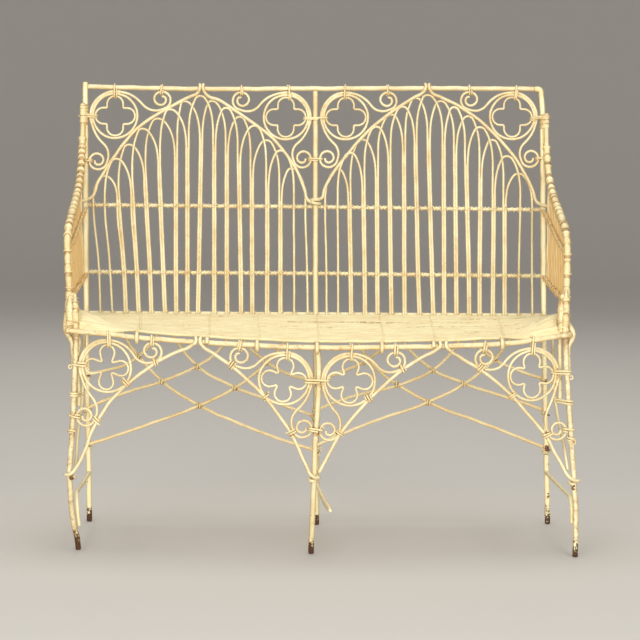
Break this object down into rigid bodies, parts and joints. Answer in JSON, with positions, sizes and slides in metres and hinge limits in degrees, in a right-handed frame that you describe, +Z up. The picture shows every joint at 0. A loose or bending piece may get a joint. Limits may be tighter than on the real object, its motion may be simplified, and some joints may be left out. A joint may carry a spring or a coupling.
{
  "type": "wirework garden bench",
  "caption": "Bow-fronted garden bench of bent iron rod tied with wire: pointed-arch back with rings and scrolls, rod seat, lashed arms, apron and legs.",
  "frame": {"origin": "middle of the bench's bounding box, on the floor", "axes": "+X to the right of the bench seen from the front, +Y towards the back, +Z up; the bow of the seat faces -Y"},
  "size_m": [1.0316, 0.539, 0.9431],
  "materials": {
    "rod_paint": "thick aged cream paint on iron rod, stained brown and rusty at ties and feet",
    "seat_paint": "aged cream paint, worn and stained brown between the rods",
    "tie_wire": "soft iron wire painted over, rust-stained"
  },
  "bodies": {
    "root": {"left_rear_post": "rod_paint", "right_rear_post": "rod_paint", "centre_rear_post": "rod_paint", "top_rail": "rod_paint", "upper_back_rail": "rod_paint", "lower_back_rail": "rod_paint", "rear_seat_rail": "rod_paint", "left_lancets_rear": "rod_paint", "left_lancets_front": "rod_paint", "right_lancets_rear": "rod_paint", "right_lancets_front": "rod_paint", "back_rib_1": "rod_paint", "back_rib_2": "rod_paint", "back_rib_3": "rod_paint", "back_rib_4": "rod_paint", "back_rings": "rod_paint", "back_quatrefoils": "rod_paint", "back_scrolls": "rod_paint", "apron_rings": "rod_paint", "apron_quatrefoils": "rod_paint", "apron_scrolls": "rod_paint", "front_left_leg": "rod_paint", "front_right_leg": "rod_paint", "front_centre_leg": "rod_paint", "front_rail": "rod_paint", "apron_rib_1": "rod_paint", "apron_rib_2": "rod_paint", "apron_rib_3": "rod_paint", "apron_rib_4": "rod_paint", "seat_rods": "seat_paint", "seat_bearers": "rod_paint", "seat_binding_wires": "tie_wire", "left_seat_rail": "rod_paint", "right_seat_rail": "rod_paint", "left_arm": "rod_paint", "right_arm": "rod_paint", "left_lower_side_rail": "rod_paint", "left_upper_side_rail": "rod_paint", "left_side_bars": "rod_paint", "right_lower_side_rail": "rod_paint", "right_upper_side_rail": "rod_paint", "right_side_bars": "rod_paint", "left_side_brace": "rod_paint", "right_side_brace": "rod_paint", "left_lattice": "rod_paint", "right_lattice": "rod_paint", "left_stretcher": "rod_paint", "right_stretcher": "rod_paint", "centre_stretcher": "rod_paint", "top_rail_ties": "tie_wire", "back_post_ties": "tie_wire", "back_rail_ties": "tie_wire", "seat_rail_ties": "tie_wire", "front_rail_ties": "tie_wire", "apron_rib_ties": "tie_wire", "leg_ties": "tie_wire", "lattice_ties": "tie_wire", "arm_lashings": "tie_wire", "side_rail_ties": "tie_wire"}
  },
  "joints": []
}
